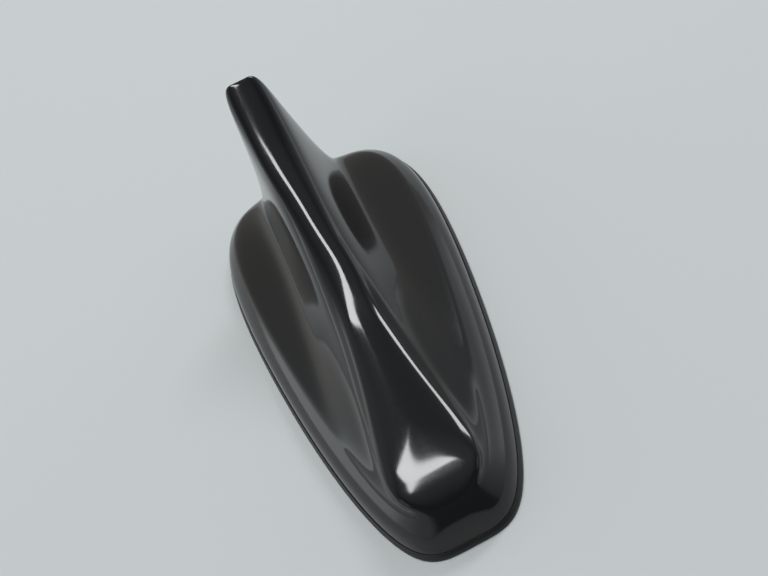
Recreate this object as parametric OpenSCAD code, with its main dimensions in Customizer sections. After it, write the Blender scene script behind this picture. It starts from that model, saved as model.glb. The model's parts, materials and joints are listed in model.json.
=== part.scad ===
// Roof antenna with a moulded fin cover, bonded to a car roof.
// Z is up, the nose points towards -Y and X = 0 is the plane of symmetry.
// The origin is on the roof plane, midway between nose and tail.

/* [Outline on the roof] */
// Length over the rubber edge
rim_l = 160; // [152:1:170]
// Width of the outline's guide at the tail
rim_tail_w = 93; // [88:1:98]
// Width of the outline's guide at the haunches
rim_mid_w = 67; // [63:1:72]
// Width of the outline's guide ahead of the fin
rim_fore_w = 63; // [60:1:67]
// Width of the outline's guide at the nose
rim_nose_w = 51; // [48:1:55]
// Roundness of the outline's ends, from square to pointed
rim_round = 0.5; // [0.46:0.02:0.54]

/* [Cover rim and deck] */
// Thickness of the moulded wall
wall_t = 2.2; // [1.8:0.1:2.4]
// Height of the skirt above the roof
skirt_h = 6.6; // [6.2:0.2:7]
// Lean of the skirt from foot to top
skirt_lean = 2.1; // [1.7:0.1:2.4]
// Height of the shoulder where the sloping rim meets the deck
shoulder_h = 10.2; // [9.8:0.2:11]
// Inset of the shoulder from the outline at the sides and tail
shoulder_in = 6.4; // [6:0.2:7]
// Inset of the shoulder at the nose
shoulder_nose_in = 3.8; // [3.4:0.2:4.2]
// Width of the shoulder's rounding
shoulder_soft = 1; // [0.6:0.1:1.4]
// Height of the deck where the fin's fillet starts
deck_h = 11.8; // [11.4:0.2:12.6]

/* [Fin] */
// Height of the fin above the roof
fin_h = 62; // [58:1:66]
// Height of the ridge above the nose
nose_h = 19; // [18:0.5:20]
// Distance of the fin's tip from the tail of the outline
tip_in = 14; // [13:0.5:16]
// Distance of the ridge face's lower end from the nose of the outline
face_in = 13; // [12:0.5:15]
// Width of the ridge face's guide at the tip
tip_w = 16; // [15:0.5:17]
// Width of the ridge face's guide at the nose
face_nose_w = 39; // [37:1:41]
// Width of the fin's guide where its foot spreads into the deck
fin_foot_w = 35; // [32:1:38]
// Depth of the crease beside the ridge
crease_drop = 1.5; // [1.2:0.1:1.8]

/* [Seal and pad] */
// Thickness of the rubber edge outside the cover
lip_t = 0.8; // [0.6:0.1:1.2]
// Height of the rubber edge above the roof
lip_h = 1.8; // [1.6:0.1:2.2]
// Thickness of the rubber under the cover, and of the adhesive pad
sole_t = 1; // [0.8:0.1:1.4]
// Width of the adhesive band
pad_w = 11; // [8:1:14]

/* [Base plate] */
// Thickness of the plate
plate_t = 2.8; // [2.6:0.1:3.2]
// Radius of the cable outlet's bore
outlet_r = 2.6; // [2.2:0.1:3]
// Distance of the cable outlet from the middle of the outline
outlet_y = -4; // [-6:0.5:-2]
// Radius of the cover's screws
screw_r = 1.35; // [1.2:0.05:1.5]
// Radius of the bosses in the cover
boss_r = 3; // [2.6:0.1:3.2]

/* [Circuit board] */
// Thickness of the board
board_t = 1.2; // [1:0.1:1.6]
// Height of the board above the plate
standoff_h = 1.8; // [1.6:0.1:2.2]
// Width of the board at its tail
board_tail_w = 36; // [32:1:38]
// Width of the board at its nose
board_nose_w = 14; // [13:1:15]
// Side of the positioning antenna's ceramic block
patch_w = 18; // [16:1:19]
// Height of that block
patch_h = 3; // [2.6:0.1:3.2]

/* [Radiator] */
// Thickness of the upright carrier
carrier_t = 2; // [1.6:0.1:2.4]
// Gap between the carrier's top and the cover's spine
carrier_gap = 7; // [6.5:0.5:9]
// Thickness of the folded sheet over the carrier
cap_t = 0.4; // [0.3:0.05:0.5]
// Mean radius of the loading coil
coil_r = 3; // [2.6:0.1:3.4]
// Diameter of the coil's wire
wire_d = 0.9; // [0.7:0.1:1.1]
// Turns of the coil
coil_turns = 6; // [4:1:8]

/* [Hidden] */
$fn = 48;

// Places along the outline, from the roof up
tail_y = rim_l / 2;
nose_y = -rim_l / 2;
fit = 0.05;
seat_gap = 0.3;
play = 0.2;
over = 1;
plate_z = sole_t;
plate_top = plate_z + plate_t;
board_z = plate_top + standoff_h;
board_top = board_z + board_t;

// Samples of the moulded surface: columns round it, rows for each span
cols = 88;
outer_rows = 4;
inner_rows = 2;
ones = [1, 1, 1, 1];

function bezier(w, u) =
    w[0] * pow(1 - u, 3) + 3 * w[1] * u * pow(1 - u, 2)
    + 3 * w[2] * u * u * (1 - u) + w[3] * pow(u, 3);
function at_least(w, m) = [for (k = w) max(k, m)];

// Half a turn from tail to nose, with steps that shorten towards both
function eased(t) = t * t * (3 - 2 * t);
function turn(j, n) =
    let (t = 2 * j / n)
    t <= 1 ? 180 * eased(t) : 360 - 180 * eased(2 - t);

// Height of the ridge, as a curve from the fin's tip to the nose
ridge_h = [fin_h, fin_h - 24, nose_h - 1.5, nose_h];
ridge_tail_y = tail_y - tip_in;
ridge_nose_y = nose_y + face_in;
function ridge_z(y) = bezier(ridge_h, (ridge_tail_y - y) / (ridge_tail_y - ridge_nose_y));

// A guide ring is [tail y, nose y, four half widths, roundness at tail and nose, low height,
// four shares of the rise from the deck to the ridge]. Its fours run from tail to nose.
level = 0 * ones;
function ring_point(r, a) =
    let (
        u = (1 - cos(a)) / 2,
        round_here = r[3][0] * (1 - u) + r[3][1] * u,
        y = (r[0] + r[1]) / 2 + (r[0] - r[1]) / 2 * cos(a)
    )
    [
        bezier(r[2], u) * sign(sin(a)) * pow(abs(sin(a)) + 1e-9, round_here),
        y,
        r[4] + bezier(r[5], u) * (ridge_z(y) - deck_h)
    ];
function ring(r, n) = [for (j = [0 : n - 1]) ring_point(r, turn(j, n))];

// Outline of the rubber edge, moved inwards by a given distance
edge_w = [rim_tail_w, rim_mid_w, rim_fore_w, rim_nose_w] / 2;
rim_rounds = [rim_round, rim_round];
function rim_ring(tail_in, nose_in, side_in, rounds, h, rise = level) =
    [tail_y - tail_in, nose_y + nose_in, edge_w - side_in * ones, rounds, h, rise];
function even_ring(inset, h) = rim_ring(inset, inset, inset, rim_rounds, h);
function outline(inset) = [for (p = ring(even_ring(inset, 0), cols)) [p.x, p.y]];

// Half the outline's width at y
function half_w(y) = ring_point(even_ring(0, 0), acos(2 * y / rim_l)).x;

// Guide rings of the rim and shoulder, t inside the cover's outer surface
skirt_mid = 0.6;
skirt_mid_h = 0.65;
soft_h = 0.8;
soft_nose_rise = 0.07;
shoulder_rounds = [0.62, 0.5];
function rim_rings(t) = [
    even_ring(lip_t + t, sole_t),
    even_ring(skirt_lean * skirt_mid + t, skirt_h * skirt_mid_h - t / 2),
    even_ring(skirt_lean + t, skirt_h - t),
    rim_ring(shoulder_in + t, shoulder_nose_in + t, shoulder_in + t, shoulder_rounds, shoulder_h - t),
    let (inset = shoulder_in + shoulder_soft + t)
    rim_ring(inset, shoulder_nose_in + shoulder_soft + t, inset, shoulder_rounds,
        shoulder_h + soft_h * shoulder_soft - t, [0, 0, 0, soft_nose_rise])
];

// Guide rings of the fin: inset of its ends, half widths, roundness and rise
fillet = [[9, 6], [24, 7, 30, 15.7], [0.45, 0.42], [0.04, 0, 0.02, 0.15]];
foot = [[11.5, 7.7], [fin_foot_w / 2, 8, 20, 17.4], [0.3, 0.38], [0.17, 0.05, 0.38, 0.35]];
flank = [[12.8, 9.5], [13, 8.5, 9, 18.9], [0.22, 0.34], [0.38, 0.3, 0.7, 0.52]];
crest = [[13.2, 11.5], [9.2, 6.6, 4, 19.8], [0.2, 0.34], [0.84, 0.79, 0.88, 0.67]];
face_rounds = [0.2, 0.36];
crease = [[tip_in - 1, face_in + 1], [tip_w / 2, 4.4, 0.4, face_nose_w / 2], face_rounds, ones];
ridge = [[tip_in, face_in + 5], [tip_w / 2 - 2.4, 3.4, 0.4, face_nose_w / 2 - 2.5], face_rounds, ones];
spine_ends = [tip_in + 1.5, face_in + 15];
crown = 0.4;
thinnest = 0.3;
function fin_ring(g, t, drop) = [
    tail_y - g[0][0] - t, nose_y + g[0][1] + t, at_least(g[1] - t * ones, thinnest), g[2],
    deck_h - drop - t, g[3]
];
function spine_ring(t) = [
    tail_y - spine_ends[0] - t, nose_y + spine_ends[1] + t, level, face_rounds, deck_h - t, ones
];
function guides(t) = concat(
    rim_rings(t),
    [for (g = [fillet, foot, flank, crest]) fin_ring(g, t, 0)],
    [fin_ring(crease, t, crease_drop), fin_ring(ridge, t, crown), spine_ring(t)]
);

// A clamped cubic spline through the guide rings blends them into one sheet.
function knot(i, n) = max(0, min(n - 3, i - 3));
function weight(i, d, v, n) =
    d == 0 ? ((v >= knot(i, n) && v < knot(i + 1, n)) ? 1 : 0)
    : let (
        a = knot(i + d, n) - knot(i, n),
        b = knot(i + d + 1, n) - knot(i + 1, n)
    )
    (a > 0 ? (v - knot(i, n)) / a * weight(i, d - 1, v, n) : 0)
    + (b > 0 ? (knot(i + d + 1, n) - v) / b * weight(i + 1, d - 1, v, n) : 0);
function blend(rings, v) =
    let (
        n = len(rings),
        s = min(v, n - 3 - 1e-6),
        k = floor(s),
        w = [for (i = [0 : 3]) weight(k + i, 3, s, n)]
    )
    [for (j = [0 : len(rings[0]) - 1])
        w[0] * rings[k][j] + w[1] * rings[k + 1][j] + w[2] * rings[k + 2][j] + w[3] * rings[k + 3][j]];
function sheet(t, rows) =
    let (g = [for (r = guides(t)) ring(r, cols)])
    [for (i = [0 : (len(g) - 3) * rows]) blend(g, i / rows)];

// A sheet closes on itself, and its last row is folded together on the spine.
function point_at(base, rows, i, j) =
    base + (i < rows - 1 ? i * cols + j % cols
        : (rows - 1) * cols + min(j % cols, cols - j % cols));
function quad(a, b, c, d) = c == d ? [[a, b, c]] : [[a, b, c], [a, c, d]];
function skin(base, rows, out) =
    [for (i = [0 : rows - 2], j = [0 : cols - 1])
        let (
            a = point_at(base, rows, i, j),
            b = point_at(base, rows, i, j + 1),
            c = point_at(base, rows, i + 1, j + 1),
            d = point_at(base, rows, i + 1, j)
        )
        each (out ? quad(a, b, c, d) : [for (f = quad(a, b, c, d)) [f[0], f[2], f[1]]])];
function joined(rows) = [for (r = rows) each r];

// Height of the cover's outer surface near a place on the deck
outer_points = joined(sheet(0, outer_rows));
function nearest_h(x, y) =
    let (
        near = [for (p = outer_points) if (p.z > skirt_h) p],
        d = [for (p = near) norm([p.x - x, p.y - y])],
        m = min(d)
    )
    [for (i = [0 : len(d) - 1]) if (d[i] == m) near[i].z][0];

// Screws that hold the cover to the plate, as [x, y] on one side
boss_side_in = 12;
function boss_at(y) = [half_w(y) - boss_side_in, y];
boss_places = [boss_at(tail_y - 32), boss_at(0), boss_at(nose_y + 31)];
function boss_top(p) =
    min([for (s = [-1, 0, 1]) nearest_h(p.x + s * boss_r, p.y)]) - wall_t / 2;
module each_boss() {
    for (p = boss_places, s = [-1, 1])
        translate([s * p.x, p.y, 0])
        children();
}

module shell() {
    outer = sheet(0, outer_rows);
    inner = sheet(wall_t, inner_rows);
    base = len(outer) * cols;
    foot = [for (j = [0 : cols - 1])
        let (k = (j + 1) % cols)
        each [[j, base + k, k], [j, base + j, base + k]]];
    polyhedron(
        points = concat(joined(outer), joined(inner)),
        faces = concat(skin(0, len(outer), true), skin(base, len(inner), false), foot),
        convexity = 6
    );
}

// Moulded cover with its screw bosses
pilot_r = screw_r + fit;
screw_reach = 4;
module cover() {
    color([0.05, 0.05, 0.06])
    difference() {
        union() {
            shell();
            for (p = boss_places, s = [-1, 1])
                translate([s * p.x, p.y, plate_top])
                cylinder(r = boss_r, h = boss_top(p) - plate_top);
        }
        each_boss()
        translate([0, 0, plate_top - over])
        cylinder(r = pilot_r, h = over + screw_reach + seat_gap);
    }
}

// Rubber edge under and round the cover's foot
sole_in = lip_t + wall_t + 2.4;
module edge_gasket() {
    color([0.09, 0.09, 0.09])
    difference() {
        linear_extrude(lip_h) polygon(outline(0));
        translate([0, 0, sole_t]) linear_extrude(lip_h) polygon(outline(lip_t));
        translate([0, 0, -over]) linear_extrude(sole_t + 2 * over) polygon(outline(sole_in));
    }
}

// Foam band that bonds the plate to the roof
module adhesive_pad() {
    color([0.2, 0.2, 0.2])
    difference() {
        linear_extrude(sole_t) polygon(outline(sole_in + seat_gap));
        translate([0, 0, -over])
        linear_extrude(sole_t + 2 * over)
        polygon(outline(sole_in + seat_gap + pad_w));
    }
}

// Moulded plate, screwed to the cover from below
plate_in = lip_t + wall_t + seat_gap + 0.9;
head_r = 2 * screw_r;
head_h = 1.3;
sink = 1.5;
hub_r = outlet_r + 1.6;
flange_r = hub_r + 1.8;
flange_t = 0.7;
standoff_r = 2.4;
stud_r = 0.9;
stud_head_r = 1.7;
stud_head_h = 1;
module base_plate() {
    color([0.16, 0.16, 0.17])
    difference() {
        union() {
            translate([0, 0, plate_z]) linear_extrude(plate_t) polygon(outline(plate_in));
            for (p = board_places)
                translate([p.x, p.y, plate_top])
                cylinder(r = standoff_r, h = standoff_h);
        }
        each_boss() {
            translate([0, 0, plate_z - over]) cylinder(r = screw_r + play, h = plate_t + 2 * over);
            translate([0, 0, plate_z - over]) cylinder(r = head_r + seat_gap, h = over + sink);
        }
        for (p = board_places)
            translate([p.x, p.y, plate_top - over])
            cylinder(r = stud_r + fit, h = standoff_h + 2 * over);
        translate([0, outlet_y, plate_z - over]) cylinder(r = hub_r + fit, h = plate_t + 2 * over);
    }
}

// Rubber grommet that lines the cable outlet
module cable_grommet() {
    color([0.12, 0.12, 0.12])
    translate([0, outlet_y, 0])
    difference() {
        union() {
            translate([0, 0, plate_z - flange_t]) cylinder(r = flange_r, h = flange_t);
            translate([0, 0, plate_z]) cylinder(r = hub_r, h = plate_t);
            translate([0, 0, plate_top]) cylinder(r = flange_r, h = flange_t);
        }
        translate([0, 0, -over]) cylinder(r = outlet_r, h = plate_top + flange_t + 2 * over);
    }
}

// Pan-head screw with its head down at z = 0, and a cross recess
module pan_screw(head, thick, shank, long) {
    slot_w = head * 0.28;
    slot_l = head * 1.2;
    difference() {
        union() {
            cylinder(r = head, h = thick);
            cylinder(r = shank, h = thick + long);
        }
        for (a = [0, 90])
            rotate(a)
            translate([-slot_l / 2, -slot_w / 2, -over])
            cube([slot_l, slot_w, over + thick / 2]);
    }
}

module cover_screws() {
    color([0.6, 0.6, 0.62])
    each_boss()
    translate([0, 0, plate_z + sink - head_h])
    pan_screw(head_r, head_h, screw_r, plate_t - sink + screw_reach);
}

// Board that narrows towards the nose, as half an outline from tail to nose
board_tail_y = tail_y - 24;
board_nose_y = nose_y + 14;
board_waist_w = board_tail_w - 5;
board_cut = 3;
patch_y = nose_y + 42.5;
board_side = [
    [board_tail_w / 2 - board_cut, board_tail_y],
    [board_tail_w / 2, board_tail_y - board_cut],
    [board_tail_w / 2, outlet_y + 14],
    [board_waist_w / 2, outlet_y - 2],
    [board_waist_w / 2, patch_y - patch_w / 2 + 5],
    [board_nose_w / 2 + 1, patch_y - patch_w / 2 - 2],
    [board_nose_w / 2, board_nose_y + 2],
    [board_nose_w / 2 - 2, board_nose_y]
];
board_mirror = [for (i = [len(board_side) - 1 : -1 : 0]) [-board_side[i].x, board_side[i].y]];
board_places = [
    for (s = [-1, 1]) each [
        [s * (board_tail_w / 2 - 3.5), board_tail_y - 6],
        [s * (board_waist_w / 2 - 2.5), outlet_y - 4],
        [s * (board_nose_w / 2 - 3), board_nose_y + 4]
    ]
];
module main_board() {
    color([0.05, 0.3, 0.15])
    translate([0, 0, board_z])
    difference() {
        linear_extrude(board_t) polygon(concat(board_side, board_mirror));
        for (p = board_places)
            translate([p.x, p.y, -over]) cylinder(r = stud_r + play, h = board_t + 2 * over);
        translate([0, outlet_y, -over]) cylinder(r = flange_r + 0.6, h = board_t + 2 * over);
        for (y = carrier_feet)
            translate([0, y, -over]) cylinder(r = stud_r + play, h = board_t + 2 * over);
    }
}

board_screw_reach = 2;
module board_screws() {
    color([0.7, 0.7, 0.72])
    for (p = board_places)
        translate([p.x, p.y, board_top + stud_head_h])
        mirror([0, 0, 1])
        pan_screw(stud_head_r, stud_head_h, stud_r, board_t + board_screw_reach);
}

// Folded screening can, open underneath, with vent holes
can_at = [-board_tail_w / 2 + 5, board_tail_y - 26];
can_size = [9, 22, 2.2];
can_t = 0.3;
vent_r = 0.8;
vent_pitch = 4;
module shield_can() {
    color([0.75, 0.75, 0.76])
    translate([can_at.x, can_at.y, board_top])
    difference() {
        translate([-can_size.x / 2, -can_size.y / 2, 0]) cube(can_size);
        translate([-can_size.x / 2 + can_t, -can_size.y / 2 + can_t, -can_t])
        cube([can_size.x - 2 * can_t, can_size.y - 2 * can_t, can_size.z]);
        for (i = [-2 : 2])
            translate([0, vent_pitch * i, can_size.z - over]) cylinder(r = vent_r, h = 2 * over);
    }
}

module amplifier_chip() {
    chip = [4, 4, 0.9];
    color([0.08, 0.08, 0.08])
    translate([can_at.x - chip.x / 2, can_at.y - chip.y / 2, board_top])
    cube(chip);
}

// Row of capacitors and row of coils, beside the carrier
row_y = outlet_y + 18;
module tuning_capacitors() {
    block = [1.6, 0.9, 0.9];
    pitch = 4;
    color([0.6, 0.5, 0.35])
    for (i = [0 : 4])
        translate([board_tail_w / 4 - 0.4, row_y + pitch * i, board_top])
        cube(block);
}

// Small wound filter coils, as drums with a waist
module filter_coils() {
    drum_r = 2;
    drum_h = 2.1;
    rim = 0.5;
    waist_r = 1.4;
    color([0.3, 0.3, 0.32])
    for (i = [0 : 2])
        translate([board_tail_w / 2 - 4.5, row_y + 2 + 3.5 * drum_r * i, board_top])
        rotate_extrude()
        polygon([
            [0, 0], [drum_r, 0], [drum_r, rim], [waist_r, rim],
            [waist_r, drum_h - rim], [drum_r, drum_h - rim], [drum_r, drum_h], [0, drum_h]
        ]);
}

// Socket for the aerial lead, facing the cable outlet
socket_size = [11, 7, 3.4];
socket_y = outlet_y - flange_r - 2.5 - socket_size.y;
socket_wall = 0.8;
socket_back = 1.8;
module lead_socket() {
    color([0.85, 0.82, 0.7])
    translate([-socket_size.x / 2, socket_y, board_top])
    difference() {
        cube(socket_size);
        translate([socket_wall, socket_back, socket_wall])
        cube([socket_size.x - 2 * socket_wall, socket_size.y, socket_size.z - 2 * socket_wall]);
    }
}

module socket_pins() {
    pin = 0.5;
    pitch = 2.6;
    color([0.8, 0.7, 0.4])
    for (i = [-1 : 1])
        translate([i * pitch - pin / 2, socket_y + socket_back, board_top + socket_size.z / 2 - pin / 2])
        cube([pin, socket_size.y - socket_back - 1.2, pin]);
}

// Ceramic block that receives positioning signals, on a foam square
patch_pad_t = 0.6;
plating_t = 0.1;
plating_in = 2;
pin_r = 0.45;
pin_head_r = 1;
module patch_pad() {
    color([0.9, 0.9, 0.88])
    translate([0, patch_y, board_top])
    difference() {
        translate([-patch_w / 2, -patch_w / 2, 0]) cube([patch_w, patch_w, patch_pad_t]);
        translate([0, 0, -over]) cylinder(r = pin_head_r, h = patch_pad_t + 2 * over);
    }
}

module gnss_patch() {
    plated = patch_w - 2 * plating_in;
    color([0.8, 0.72, 0.55])
    translate([0, patch_y, board_top + patch_pad_t])
    difference() {
        union() {
            translate([-patch_w / 2, -patch_w / 2, 0]) cube([patch_w, patch_w, patch_h]);
            translate([-plated / 2, -plated / 2, patch_h]) cube([plated, plated, plating_t]);
        }
        translate([0, 0, -over]) cylinder(r = pin_r + fit, h = patch_h + 2 * over);
    }
}

module patch_pin() {
    long = patch_pad_t + patch_h + plating_t;
    color([0.8, 0.8, 0.8])
    translate([0, patch_y, board_top]) {
        cylinder(r = pin_r, h = long);
        translate([0, 0, long]) cylinder(r = pin_head_r, h = 0.3);
    }
}

// Upright carrier whose top follows the fin's ridge
carrier_tail_y = ridge_tail_y - 11;
carrier_nose_y = outlet_y + 12;
carrier_feet = [carrier_nose_y + 6, carrier_tail_y - 11];
carrier_steps = 10;
foot_r = 2.6;
foot_h = 5;
carrier_screw_reach = 3.5;
function carrier_y(i) = carrier_tail_y + (carrier_nose_y - carrier_tail_y) * i / carrier_steps;
function carrier_top(y) = ridge_z(y) - wall_t - carrier_gap;
function top_line(drop) =
    [for (i = [0 : carrier_steps]) [carrier_y(i), carrier_top(carrier_y(i)) - drop]];
function carrier_side(low) =
    concat([[carrier_nose_y, low], [carrier_tail_y, low]], top_line(0));
// Extrudes a side view, drawn as [y, z], about the plane of symmetry
module upright(t) {
    translate([-t / 2, 0, 0])
    rotate([90, 0, 90])
    linear_extrude(t)
    children();
}
coil_y = (carrier_feet[0] + carrier_feet[1]) / 2;
coil_h = 11;
module radiator_carrier() {
    color([0.85, 0.85, 0.82])
    difference() {
        union() {
            upright(carrier_t) polygon(carrier_side(board_top));
            for (y = carrier_feet)
                translate([0, y, board_top]) cylinder(r = foot_r, h = foot_h);
        }
        upright(carrier_t + 2 * over)
        translate([coil_y - coil_r - wire_d, board_top - over])
        square([2 * (coil_r + wire_d), over + coil_h + 2.4]);
        for (y = carrier_feet)
            translate([0, y, board_top - over])
            cylinder(r = stud_r + fit, h = over + carrier_screw_reach + fit);
    }
}

module carrier_screws() {
    color([0.7, 0.7, 0.72])
    for (y = carrier_feet)
        translate([0, y, board_z - stud_head_h])
        pan_screw(stud_head_r, stud_head_h, stud_r, board_t + carrier_screw_reach);
}

// Thin sheet folded over the top of the carrier
cap_drop = 7;
module radiator_cap() {
    low_line = top_line(cap_drop);
    color([0.8, 0.65, 0.35])
    difference() {
        upright(carrier_t + 2 * cap_t + 2 * fit)
        polygon(concat(top_line(-cap_t), [for (i = [carrier_steps : -1 : 0]) low_line[i]]));
        upright(carrier_t + 2 * fit) polygon(carrier_side(0));
    }
}

// Helical coil that stands on the board in the carrier's window
function coil_point(a, r, z) = [r * cos(a), r * sin(a), z];
module loading_coil() {
    sides = 8;
    steps = 14 * coil_turns;
    pitch = (coil_h - wire_d) / coil_turns;
    points = [for (i = [0 : steps], k = [0 : sides - 1])
        let (
            a = 360 * coil_turns * i / steps,
            b = 360 * k / sides
        )
        coil_point(a, coil_r + wire_d / 2 * cos(b), pitch * a / 360 + wire_d / 2 * sin(b))];
    side = [for (i = [0 : steps - 1], k = [0 : sides - 1])
        let (a = i * sides + k, b = i * sides + (k + 1) % sides)
        [a, b, b + sides, a + sides]];
    ends = [
        [for (k = [sides - 1 : -1 : 0]) k],
        [for (k = [0 : sides - 1]) steps * sides + k]
    ];
    color([0.75, 0.45, 0.2])
    translate([0, coil_y, board_top + wire_d / 2])
    polyhedron(points = points, faces = concat(side, ends), convexity = 8);
}

// Bent leaf that joins the board to the folded sheet
module contact_spring() {
    leaf_t = 0.3;
    leaf_w = 2.4;
    foot_l = 3;
    front = carrier_nose_y - seat_gap;
    top = carrier_top(carrier_nose_y) - 1;
    color([0.85, 0.75, 0.5])
    upright(leaf_w)
    polygon([
        [front - foot_l, board_top], [front, board_top], [front, top], [front - leaf_t, top],
        [front - leaf_t, board_top + leaf_t], [front - foot_l, board_top + leaf_t]
    ]);
}

cover();
edge_gasket();
adhesive_pad();
base_plate();
cable_grommet();
cover_screws();
main_board();
board_screws();
shield_can();
amplifier_chip();
tuning_capacitors();
filter_coils();
lead_socket();
socket_pins();
gnss_patch();
patch_pad();
patch_pin();
radiator_carrier();
radiator_cap();
carrier_screws();
loading_coil();
contact_spring();
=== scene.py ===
import json
import math
from functools import reduce

import bmesh
import bpy
import numpy as np
from mathutils import Matrix, Vector


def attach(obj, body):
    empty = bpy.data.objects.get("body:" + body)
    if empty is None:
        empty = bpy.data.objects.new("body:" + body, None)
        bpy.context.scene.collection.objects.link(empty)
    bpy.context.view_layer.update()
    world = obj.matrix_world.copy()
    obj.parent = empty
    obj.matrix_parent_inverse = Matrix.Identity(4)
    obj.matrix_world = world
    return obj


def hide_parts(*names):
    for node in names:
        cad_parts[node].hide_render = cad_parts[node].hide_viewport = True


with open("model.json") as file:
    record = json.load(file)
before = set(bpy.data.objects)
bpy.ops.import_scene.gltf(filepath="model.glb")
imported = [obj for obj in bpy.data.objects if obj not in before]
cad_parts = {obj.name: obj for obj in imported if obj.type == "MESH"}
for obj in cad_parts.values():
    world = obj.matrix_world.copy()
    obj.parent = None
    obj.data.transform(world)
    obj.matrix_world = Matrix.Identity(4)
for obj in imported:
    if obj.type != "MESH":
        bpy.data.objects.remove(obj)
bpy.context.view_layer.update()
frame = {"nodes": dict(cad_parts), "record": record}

MM = 0.001


# Camera, at the photograph's angle, in degrees and millimetres

PHOTO_W = 768
VIEW_AZIMUTH = 3.4
VIEW_ELEVATION = 45.0
VIEW_ROLL = 30.9
FOCAL_PIXELS = 1552
LOOK_AT = (10.7, -20.2, 40.5)
DISTANCE = 420
SENSOR = 36
CLIP_START = 10


def add_camera():
    a, e, roll = (math.radians(x) for x in (VIEW_AZIMUTH, VIEW_ELEVATION, VIEW_ROLL))
    towards = Vector((math.sin(a) * math.cos(e), -math.cos(a) * math.cos(e), math.sin(e)))
    right = Vector((math.cos(a), math.sin(a), 0))
    up = towards.cross(right)
    turned_right = right * math.cos(roll) - up * math.sin(roll)
    turned_up = right * math.sin(roll) + up * math.cos(roll)
    turn = Matrix((turned_right, turned_up, towards)).transposed()
    place = (Vector(LOOK_AT) + towards * DISTANCE) * MM
    data = bpy.data.cameras.new("camera")
    data.sensor_width = SENSOR
    data.lens = FOCAL_PIXELS * SENSOR / PHOTO_W
    data.clip_start = CLIP_START * MM
    camera = bpy.data.objects.new("camera", data)
    camera.matrix_world = Matrix.Translation(place) @ turn.to_4x4()
    bpy.context.collection.objects.link(camera)
    bpy.context.scene.camera = camera


# Outline, rim and deck, in millimetres. Each four runs from tail to nose, each two is tail, nose.

RIM_L = 160
RIM_W = np.array([93, 67, 63, 51])
RIM_ROUND = (0.5, 0.5)
WALL_T = 2.2
LIP_T = 0.8
LIP_H = 1.8
SOLE_T = 1
SOLE_LAP = 2.4
SOLE_IN = LIP_T + WALL_T + SOLE_LAP
SKIRT_H = 6.6
SKIRT_LEAN = 2.1
SKIRT_MID = 0.6
SKIRT_MID_H = 0.65
SHOULDER_H = 10.2
SHOULDER_IN = 6.4
SHOULDER_NOSE_IN = 3.8
SHOULDER_SOFT = 1
SHOULDER_ROUND = (0.46, 0.5)
SOFT_SLOPE = 0.8
SOFT_RISE = (0, 0, 0, 0.06)
DECK_H = 11.8
TAIL_Y = RIM_L / 2
NOSE_Y = -RIM_L / 2
LEVEL = np.zeros(4)
FULL = np.ones(4)

# Ridge: a slack line from the fin's tip, with a bend near the tip and another at the knee.
# The ridge in the part's source bends less at the tip, and is up to 2.7 mm higher before it.

FIN_H = 62
FIN_SLOPE = 0.555
FIN_SAG = 0.0021
KNEE_Y = -6
KNEE_SOFT = 2.5
KNEE_TURN = 0.225
TIP_IN = 14
TIP_Y = TAIL_Y - TIP_IN
TIP_BEND_Y = 44
TIP_BEND_SOFT = 3
TIP_TURN = 0.08
TIP_LEAN = 0.06
CROWN = 0.4
TIP_CROWN = 0.3 * CROWN

# The crown's shifts to the side: distance, place along the ridge, length
CROWN_SHIFTS = [(1.4, 7, 9), (-1.5, 42, 12)]

# Guide rings of the fin: inset of the ends, half widths, roundness, drop below the deck,
# and shares of the rise from there to the ridge. Towards the inside, a half width shrinks to
# THINNEST at least.

FACE_IN = 13
CREASE_DROP = 1.5
RIDGE_HALF = (5.6, 3.4, 0.4, 16.5)
RIDGE_ROUND = (0.2, 0.56)
SPINE_ENDS = (TIP_IN + 1.5, FACE_IN + 19)
THINNEST = 0.3
FIN_GUIDES = {
    "fillet": ((9, 6), (24, 7, 30, 15.7), (0.45, 0.42), 0, (0.04, 0, 0.02, 0.13)),
    "foot": ((11.5, 7.7), (17.5, 8, 20, 17.4), (0.3, 0.38), 0, (0.17, 0.05, 0.38, 0.3)),
    "flank": ((12.8, 9.5), (13, 8.5, 9, 18.9), (0.22, 0.34), 0, (0.38, 0.3, 0.7, 0.45)),
    "crest": ((13.2, 11.5), (9.2, 6.6, 4, 19.8), (0.2, 0.34), 0, (0.84, 0.79, 0.88, 0.58)),
    "crease": ((TIP_IN - 1, FACE_IN + 1), (8, 4.4, 0.4, 19.5), (0.2, 0.33), CREASE_DROP,
               (1, 1, 1, 0.92)),
    "ridge": ((TIP_IN, FACE_IN + 6), RIDGE_HALF, RIDGE_ROUND, CROWN, (1, 1, 1, 0.98)),
}

# Columns round the part, and rows for each span of the cover's two sheets
COLUMNS = 240
OUTER_ROWS = 14
INNER_ROWS = 3
SPLINE_DEGREE = 3

# Keeps a ring's ends off a power of zero, and a sheet's last row inside the last span
TINY = 1e-9

# Section of the seal as inset and height: its foot, the sole, the lip's back, top and outside
SEAL_PROFILE = [
    (0.12, 0), (SOLE_IN, 0), (SOLE_IN, SOLE_T), (LIP_T, SOLE_T),
    (LIP_T + 0.07, LIP_H + 0.2), (LIP_T - 0.02, LIP_H + 0.19), (0.62, LIP_H),
    (0.42, LIP_H - 0.27), (0.24, LIP_H - 0.55), (0.1, LIP_H - 0.85), (0.02, LIP_H - 1.15),
    (0, 0.4), (0.03, 0.15),
]


def bezier(w, u):
    return (w[0] * (1 - u) ** 3 + 3 * w[1] * u * (1 - u) ** 2
            + 3 * w[2] * u * u * (1 - u) + w[3] * u**3)


def soft_ramp(x, soft):
    """Zero below x = 0 and x above it, with a soft bend between them."""
    return soft * np.log1p(np.exp(x / soft))


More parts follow.
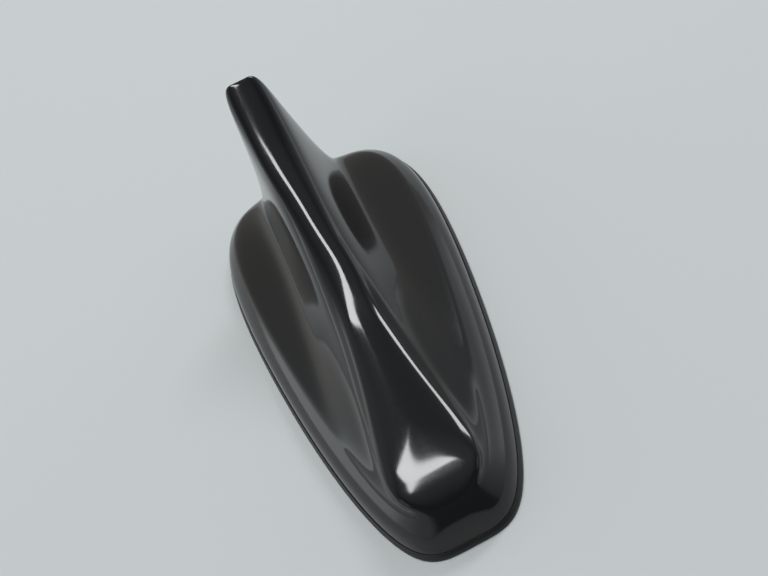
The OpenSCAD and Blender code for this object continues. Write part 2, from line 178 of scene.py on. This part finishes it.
def ridge_z(y):
    """The ridge falls from the tip in a slack line, and flattens at the knee towards the nose."""
    way = TIP_Y - y
    tip = soft_ramp(y - TIP_BEND_Y, TIP_BEND_SOFT) - (TIP_Y - TIP_BEND_Y)
    knee = soft_ramp(KNEE_Y - y, KNEE_SOFT)
    slack = FIN_H - FIN_SLOPE * way + FIN_SAG * way * way / 2
    return slack + KNEE_TURN * knee + TIP_TURN * tip


def crown_shift(y):
    """The crown of the ridge wanders a little to either side, as its highlight shows."""
    return sum(far * np.exp(-(((y - at) / long) ** 2)) for far, at, long in CROWN_SHIFTS)


def tip_share(y):
    """How far y lies in the part near the tip, where the ridge has a flat top that leans."""
    return 1 / (1 + np.exp((TIP_BEND_Y - y) / TIP_BEND_SOFT))


# A guide ring is (tail y, nose y, half widths, roundness, low height, shares of the rise).


def rim_ring(t, tail_in, nose_in, side_in, rounds, height, rise=LEVEL):
    """A ring that follows the outline on the roof, inset from it and t further inside."""
    return (TAIL_Y - t - tail_in, NOSE_Y + t + nose_in, RIM_W / 2 - t - side_in,
            rounds, height, rise)


def even_ring(t, inset, height):
    return rim_ring(t, inset, inset, inset, RIM_ROUND, height)


def fin_ring(t, ends, half, rounds, drop, rise):
    return (TAIL_Y - t - ends[0], NOSE_Y + t + ends[1],
            np.maximum(np.array(half) - t, THINNEST), rounds, DECK_H - drop - t, rise)


def guides(t):
    """The cover's guide rings from its foot to its spine, t inside the outer surface."""
    soft_in = SHOULDER_IN + SHOULDER_SOFT
    return [
        even_ring(t, LIP_T, SOLE_T),
        even_ring(t, SKIRT_LEAN * SKIRT_MID, SKIRT_H * SKIRT_MID_H - t / 2),
        even_ring(t, SKIRT_LEAN, SKIRT_H - t),
        rim_ring(t, SHOULDER_IN, SHOULDER_NOSE_IN, SHOULDER_IN, SHOULDER_ROUND, SHOULDER_H - t),
        rim_ring(t, soft_in, SHOULDER_NOSE_IN + SHOULDER_SOFT, soft_in, SHOULDER_ROUND,
                 SHOULDER_H + SOFT_SLOPE * SHOULDER_SOFT - t, SOFT_RISE),
        *(fin_ring(t, *guide) for guide in FIN_GUIDES.values()),
        (TAIL_Y - t - SPINE_ENDS[0], NOSE_Y + t + SPINE_ENDS[1], LEVEL, RIDGE_ROUND,
         DECK_H - t, FULL),
    ]


def ring(r):
    """Points of one guide ring, with steps that shorten towards tail and nose."""
    tail, nose, half_widths, rounds, low, rise = r
    t = 2 * np.arange(COLUMNS) / COLUMNS
    half = np.where(t <= 1, t, 2 - t)
    angle = math.pi * half * half * (3 - 2 * half)
    side = np.where(t <= 1, 1.0, -1.0)
    u = (1 - np.cos(angle)) / 2
    power = rounds[0] * (1 - u) + rounds[1] * u
    x = bezier(half_widths, u) * side * (np.abs(np.sin(angle)) + TINY) ** power
    x[(half == 0) | (half == 1)] = 0
    y = (tail + nose) / 2 + (tail - nose) / 2 * np.cos(angle)
    z = low + bezier(rise, u) * (ridge_z(y) - DECK_H)
    return np.stack([x, y, z], -1)


def spline_weights(count, v):
    """Weights of a clamped cubic spline with count guides, at v from 0 to count - 3."""
    last = count - SPLINE_DEGREE
    knots = np.clip(np.arange(count + SPLINE_DEGREE + 1) - SPLINE_DEGREE, 0, last).astype(float)
    v = min(v, last - TINY)
    w = ((v >= knots[:-1]) & (v < knots[1:])).astype(float)
    for d in range(1, SPLINE_DEGREE + 1):
        new = np.zeros(len(w) - 1)
        for i in range(len(new)):
            a = knots[i + d] - knots[i]
            b = knots[i + d + 1] - knots[i + 1]
            rising = (v - knots[i]) / a * w[i] if a else 0
            falling = (knots[i + d + 1] - v) / b * w[i + 1] if b else 0
            new[i] = rising + falling
        w = new
    return w


def sheet(t, rows):
    """The moulded surface t inside the outside, with rows for each span."""
    g = np.stack([ring(r) for r in guides(t)])

    # The last three rings are the crease, the ridge and the spine.
    g[-2:, :, 0] += crown_shift(g[-2:, :, 1])
    near_tip = tip_share(g[-3:, :, 1])
    g[-3:, :, 2] -= TIP_LEAN * near_tip * (g[-3:, :, 0] + RIDGE_HALF[0])
    g[-2, :, 2] += TIP_CROWN * near_tip[1]

    steps = [i / rows for i in range((len(g) - SPLINE_DEGREE) * rows + 1)]
    return np.stack([np.tensordot(spline_weights(len(g), v), g, 1) for v in steps])


def sheet_faces(last, base, out):
    """Faces of a sheet of points from base on, whose last row is folded together on the spine."""

    def at(i, j):
        j %= COLUMNS
        return base + i * COLUMNS + (min(j, COLUMNS - j) if i == last else j)

    faces = []
    for i in range(last):
        for j in range(COLUMNS):
            f = [at(i, j), at(i, j + 1), at(i + 1, j + 1), at(i + 1, j)]
            faces.append(f[::-1] if out else f)
    return faces


def new_mesh(name, verts, faces):
    """A smooth-shaded piece, without the points that no face uses."""
    mesh = bpy.data.meshes.new(name)
    mesh.from_pydata([tuple(v) for v in verts], [], faces)
    mesh.validate()
    mesh.update()
    for p in mesh.polygons:
        p.use_smooth = True
    bm = bmesh.new()
    bm.from_mesh(mesh)
    bmesh.ops.delete(bm, geom=[v for v in bm.verts if not v.link_faces], context="VERTS")
    bm.to_mesh(mesh)
    bm.free()
    piece = bpy.data.objects.new(name, mesh)
    bpy.context.collection.objects.link(piece)
    return piece


def add_cover():
    """The moulding as a closed shell of an outer and an inner sheet, stitched at the foot."""
    outer = sheet(0, OUTER_ROWS)
    inner = sheet(WALL_T, INNER_ROWS)
    base = len(outer) * COLUMNS
    faces = sheet_faces(len(outer) - 1, 0, True) + sheet_faces(len(inner) - 1, base, False)
    for j in range(COLUMNS):
        k = (j + 1) % COLUMNS
        faces.append([j, k, base + k, base + j])
    verts = np.concatenate([outer.reshape(-1, 3), inner.reshape(-1, 3)]) * MM
    piece = new_mesh("cover_moulding", verts, faces)
    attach(piece, "root")
    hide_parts("cover")
    piece.data.materials.append(finish("gloss_black"))


def add_seal():
    """The rubber seal under the cover, with a rounded lip round the foot of the skirt."""
    verts = np.concatenate([ring(even_ring(0, inset, z)) for inset, z in SEAL_PROFILE]) * MM
    faces = []
    for i in range(len(SEAL_PROFILE)):
        row, next_row = i * COLUMNS, (i + 1) % len(SEAL_PROFILE) * COLUMNS
        for j in range(COLUMNS):
            k = (j + 1) % COLUMNS
            faces.append([row + j, row + k, next_row + k, next_row + j])
    piece = new_mesh("edge_seal", verts, faces)
    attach(piece, "root")
    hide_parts("edge_gasket")
    piece.data.materials.append(finish("rubber_black"))


# Materials. Scales are in cells or waves per metre, and reliefs in metres.

GLOSS_COLOUR = (0.009, 0.009, 0.0095)
GLOSS_IOR = 1.5
GLOSS_ROUGH = (0.07, 0.12)
TRACK_SCALE = 220
TRACK_RANDOM = 0.7
TRACK_EDGE = (0.04, 0.07)
TRACK_RELIEF = 0.00002
MASK_COLOUR = (0.006, 0.075, 0.028)
TRACK_COLOUR = (0.02, 0.16, 0.055)
MASK_ROUGH = (0.22, 0.38)
FINE_SCALE = 900
FINE_DETAIL = 3
GRAIN_DETAIL = 4
LINE_DETAIL = 5
FOAM_SCALE = 1400
FOAM_ROUGH = 0.92
FOAM_RELIEF = 0.00012
LINE_RELIEF = 0.00001
GRAIN_STRENGTH = 0.4
FOAM_STRENGTH = 0.6
LINE_STRENGTH = 0.25


def add_node(tree, kind, values=None, links=None):
    """A new node with these values and links on its inputs."""
    node = tree.nodes.new(kind)
    for name, value in (values or {}).items():
        node.inputs[name].default_value = value
    for name, source in (links or {}).items():
        tree.links.new(source, node.inputs[name])
    return node


def new_material(name):
    material = bpy.data.materials.new(name)
    material.use_nodes = True
    return material, material.node_tree, material.node_tree.nodes["Principled BSDF"]


def on_object(tree):
    return tree.nodes.new("ShaderNodeTexCoord").outputs["Object"]


def noise(tree, vector, scale, detail):
    values = {"Scale": scale, "Detail": detail}
    return add_node(tree, "ShaderNodeTexNoise", values, {"Vector": vector}).outputs["Fac"]


def spread(tree, source, low, high):
    values = {"To Min": low, "To Max": high}
    return add_node(tree, "ShaderNodeMapRange", values, {"Value": source}).outputs["Result"]


def step(tree, source, start, end, low, high):
    """A smooth step of the source from low to high, between start and end."""
    values = {"From Min": start, "From Max": end, "To Min": low, "To Max": high}
    node = add_node(tree, "ShaderNodeMapRange", values, {"Value": source})
    node.interpolation_type = "SMOOTHSTEP"
    return node.outputs["Result"]


def mixed(tree, source, first, second):
    values = {"Color1": (*first, 1), "Color2": (*second, 1)}
    return add_node(tree, "ShaderNodeMixRGB", values, {"Fac": source}).outputs["Color"]


def bump(tree, shader, source, strength, distance):
    values = {"Strength": strength, "Distance": distance}
    node = add_node(tree, "ShaderNodeBump", values, {"Height": source})
    tree.links.new(node.outputs["Normal"], shader.inputs["Normal"])


def glossy(name, colour, ior, rough):
    """High-gloss plastic, whose polish varies a little."""
    material, tree, shader = new_material(name)
    shader.inputs["Base Color"].default_value = (*colour, 1)
    shader.inputs["IOR"].default_value = ior
    fine = noise(tree, on_object(tree), FINE_SCALE, FINE_DETAIL)
    tree.links.new(spread(tree, fine, *rough), shader.inputs["Roughness"])
    return material


def grained(name, dark, pale, rough, scale, relief):
    """A finish whose colour, roughness and relief all follow one fine grain."""
    material, tree, shader = new_material(name)
    grain = noise(tree, on_object(tree), scale, GRAIN_DETAIL)
    tree.links.new(mixed(tree, grain, dark, pale), shader.inputs["Base Color"])
    tree.links.new(spread(tree, grain, *rough), shader.inputs["Roughness"])
    bump(tree, shader, grain, GRAIN_STRENGTH, relief)
    return material


def masked_board(name):
    """Green solder mask, with paler tracks where copper runs below it."""
    material, tree, shader = new_material(name)
    cells = add_node(tree, "ShaderNodeTexVoronoi", links={"Vector": on_object(tree)})
    cells.feature = "DISTANCE_TO_EDGE"
    cells.inputs["Scale"].default_value = TRACK_SCALE
    cells.inputs["Randomness"].default_value = TRACK_RANDOM
    track = step(tree, cells.outputs["Distance"], *TRACK_EDGE, 1, 0)
    tree.links.new(mixed(tree, track, MASK_COLOUR, TRACK_COLOUR), shader.inputs["Base Color"])
    fine = noise(tree, on_object(tree), FINE_SCALE, FINE_DETAIL)
    tree.links.new(spread(tree, fine, *MASK_ROUGH), shader.inputs["Roughness"])
    bump(tree, shader, track, GRAIN_STRENGTH, TRACK_RELIEF)
    return material


def foam(name, dark, pale):
    """Closed-cell foam, with small round cells."""
    material, tree, shader = new_material(name)
    cells = add_node(tree, "ShaderNodeTexVoronoi", {"Scale": FOAM_SCALE},
                     {"Vector": on_object(tree)}).outputs["Distance"]
    tree.links.new(mixed(tree, cells, dark, pale), shader.inputs["Base Color"])
    shader.inputs["Roughness"].default_value = FOAM_ROUGH
    bump(tree, shader, cells, FOAM_STRENGTH, FOAM_RELIEF)
    return material


def brushed(name, dark, pale, rough, stretch):
    """Metal with fine lines left by forming, along one direction."""
    material, tree, shader = new_material(name)
    turned = add_node(tree, "ShaderNodeMapping", {"Scale": stretch}, {"Vector": on_object(tree)})
    lines = noise(tree, turned.outputs["Vector"], 1, LINE_DETAIL)
    tree.links.new(mixed(tree, lines, dark, pale), shader.inputs["Base Color"])
    tree.links.new(spread(tree, lines, *rough), shader.inputs["Roughness"])
    shader.inputs["Metallic"].default_value = 1
    bump(tree, shader, lines, LINE_STRENGTH, LINE_RELIEF)
    return material


# For each material slot of the record, what makes its finish, and with which values: dark and
# pale colour, range of roughness, then the grain's scale and relief, or the lines' stretch.
# A glossy finish has its colour, its index of refraction and its range of roughness.
FINISHES = {
    "gloss_black": (glossy, GLOSS_COLOUR, GLOSS_IOR, GLOSS_ROUGH),
    "rubber_black": (grained, (0.008, 0.008, 0.008), (0.014, 0.014, 0.0135),
                     (0.35, 0.5), 500, 0.00002),
    "foam_black": (foam, (0.008, 0.008, 0.008), (0.03, 0.03, 0.03)),
    "foam_white": (foam, (0.5, 0.5, 0.48), (0.82, 0.82, 0.8)),
    "plate_black": (grained, (0.014, 0.014, 0.0145), (0.026, 0.026, 0.027),
                    (0.42, 0.62), 1300, 0.00005),
    "board_green": (masked_board,),
    "chip_black": (grained, (0.01, 0.01, 0.01), (0.02, 0.02, 0.021),
                   (0.45, 0.6), 2200, 0.00002),
    "capacitor_tan": (grained, (0.26, 0.17, 0.1), (0.36, 0.25, 0.15),
                      (0.4, 0.55), 1500, 0.00001),
    "ferrite_grey": (grained, (0.04, 0.04, 0.044), (0.09, 0.09, 0.095),
                     (0.5, 0.7), 1800, 0.00002),
    "socket_cream": (grained, (0.56, 0.5, 0.36), (0.66, 0.6, 0.45),
                     (0.4, 0.52), 900, 0.00001),
    "patch_ceramic": (grained, (0.42, 0.32, 0.2), (0.56, 0.45, 0.3),
                      (0.35, 0.55), 1200, 0.00002),
    "carrier_white": (grained, (0.62, 0.62, 0.58), (0.72, 0.72, 0.68),
                      (0.42, 0.55), 700, 0.00002),
    "steel": (brushed, (0.42, 0.42, 0.44), (0.6, 0.6, 0.62), (0.24, 0.42), (3000, 3000, 400)),
    "tinned_sheet": (brushed, (0.55, 0.55, 0.55), (0.74, 0.74, 0.75),
                     (0.2, 0.4), (2500, 150, 2500)),
    "brass": (brushed, (0.6, 0.42, 0.17), (0.8, 0.6, 0.3), (0.22, 0.38), (2500, 200, 2500)),
    "copper": (brushed, (0.5, 0.2, 0.1), (0.75, 0.36, 0.2), (0.2, 0.36), (600, 600, 3000)),
}
made = {}


def finish(slot):
    """The material of a slot, made once."""
    if slot not in made:
        make, *values = FINISHES[slot]
        made[slot] = make(slot + "_finish", *values)
    return made[slot]


def dress_cad():
    for entry in frame["record"]["subparts"]:
        piece = frame["nodes"][entry["node"]]
        piece.data.materials.clear()
        piece.data.materials.append(finish(entry["material_slot"]))


# Floor and light

FLOOR_HALF = 3.0
FLOOR_COLOUR = (0.65, 0.672, 0.672)
FLOOR_ROUGH = 0.9

# The room's light is a sum of glows. Each is a product of smooth steps, as what the step
# follows, start, end, low and high. "aside" is x squared, which is the same left and right.
ROOM_GLOWS = {
    "walls": [("y", -0.3, 0.35, 0.1, 0.39), ("z", 0.72, 0.9, 1, 0.45)],
    "left": [("x", -0.25, -0.75, 0, 0.45), ("z", 0.3, 0.65, 1, 0)],
    "right": [("x", 0.8, 0.95, 0, 0.28), ("z", 0.5, 0.75, 1, 0)],
    "low": [("aside", 0.5, 0.62, 0, 0.75), ("z", 0.02, 0.3, 1, 0), ("y", 0.1, 0.35, 0, 1)],
    "zenith": [("z", 0.85, 1, 0, 0.25)],
}

# The room is warm where these steps are high, and cool elsewhere
ROOM_WARMTH = [("y", 0.55, 0.8, 0, 1), ("z", 0.6, 0.95, 1, 0)]
ROOM_COOL_COLOUR = (0.92, 1.0, 1.02)
ROOM_WARM_COLOUR = (1, 0.96, 0.91)

# All lamps stand the same distance away, in metres
LAMP_DISTANCE = 1.6
LAMP_COLOUR = (0.97, 0.99, 1)
HALF_DEGREE = 0.5

# Each lamp's lean, size and turn in degrees, and its radiance
LAMPS = {
    "ceiling_lamp": ((-9.2, 9.2), (27.5, 11.5), -69, 15),
    "side_lamp": ((34, 32), (16, 11), 0, 12),
    "fill_lamp_left": ((-47, -20), (26, 20), 0, 0.5),
    "fill_lamp_right": ((46, -20), (24, 20), 0, 0.5),
}


def add_floor():
    half = FLOOR_HALF
    corners = [(-half, -half, 0), (half, -half, 0), (half, half, 0), (-half, half, 0)]
    floor = new_mesh("floor", corners, [(0, 1, 2, 3)])
    material, _, shader = new_material("pale_floor")
    shader.inputs["Base Color"].default_value = (*FLOOR_COLOUR, 1)
    shader.inputs["Roughness"].default_value = FLOOR_ROUGH
    floor.data.materials.append(material)


def add_world():
    """A dim room, darker in front of the nose, with paler walls to the left and right."""
    world = bpy.data.worlds.new("studio")
    bpy.context.scene.world = world
    world.use_nodes = True
    tree = world.node_tree

    def combined(kind, sources):
        def pair(a, b):
            node = tree.nodes.new("ShaderNodeMath")
            node.operation = kind
            tree.links.new(a, node.inputs[0])
            tree.links.new(b, node.inputs[1])
            return node.outputs["Value"]

        return reduce(pair, sources)

    def product(steps):
        return combined("MULTIPLY", [step(tree, ways[way], *values) for way, *values in steps])

    direction = tree.nodes.new("ShaderNodeTexCoord").outputs["Generated"]
    split = add_node(tree, "ShaderNodeSeparateXYZ", links={"Vector": direction})
    ways = {k.lower(): split.outputs[k] for k in "XYZ"}
    ways["aside"] = combined("MULTIPLY", [ways["x"], ways["x"]])
    warmth = step(tree, product(ROOM_WARMTH), 0, 1, 0, 1)
    level = combined("ADD", [product(glow) for glow in ROOM_GLOWS.values()])
    background = tree.nodes["Background"]
    colour = mixed(tree, warmth, ROOM_COOL_COLOUR, ROOM_WARM_COLOUR)
    tree.links.new(colour, background.inputs["Color"])
    tree.links.new(level, background.inputs["Strength"])


def sky(lean):
    """Unit vector at lean, which is degrees from the zenith towards +X and +Y."""
    tilt = math.radians(math.hypot(*lean))
    turn = math.atan2(lean[1], lean[0])
    flat = math.sin(tilt)
    return Vector((flat * math.cos(turn), flat * math.sin(turn), math.cos(tilt)))


def add_lamp(name, lean, size, turn, radiance):
    """A rectangular lamp aimed at the part. With no turn, its width runs along the lean to +X."""
    aim = sky(lean)
    across = sky((lean[0] + HALF_DEGREE, lean[1])) - sky((lean[0] - HALF_DEGREE, lean[1]))
    across = (across - aim * aim.dot(across)).normalized()
    along = aim.cross(across)
    c, s = math.cos(math.radians(turn)), math.sin(math.radians(turn))
    axes = Matrix((across * c + along * s, along * c - across * s, aim)).transposed()
    data = bpy.data.lights.new(name, "AREA")
    data.shape = "RECTANGLE"
    data.size, data.size_y = (2 * LAMP_DISTANCE * math.tan(math.radians(k / 2)) for k in size)
    data.energy = radiance * math.pi * data.size * data.size_y
    data.color = LAMP_COLOUR
    lamp = bpy.data.objects.new(name, data)
    lamp.matrix_world = Matrix.Translation(aim * LAMP_DISTANCE) @ axes.to_4x4()
    bpy.context.collection.objects.link(lamp)


bpy.context.scene.view_settings.view_transform = "Standard"
add_camera()
add_world()
add_floor()
for name, lamp in LAMPS.items():
    add_lamp(name, *lamp)
add_cover()
add_seal()
dress_cad()
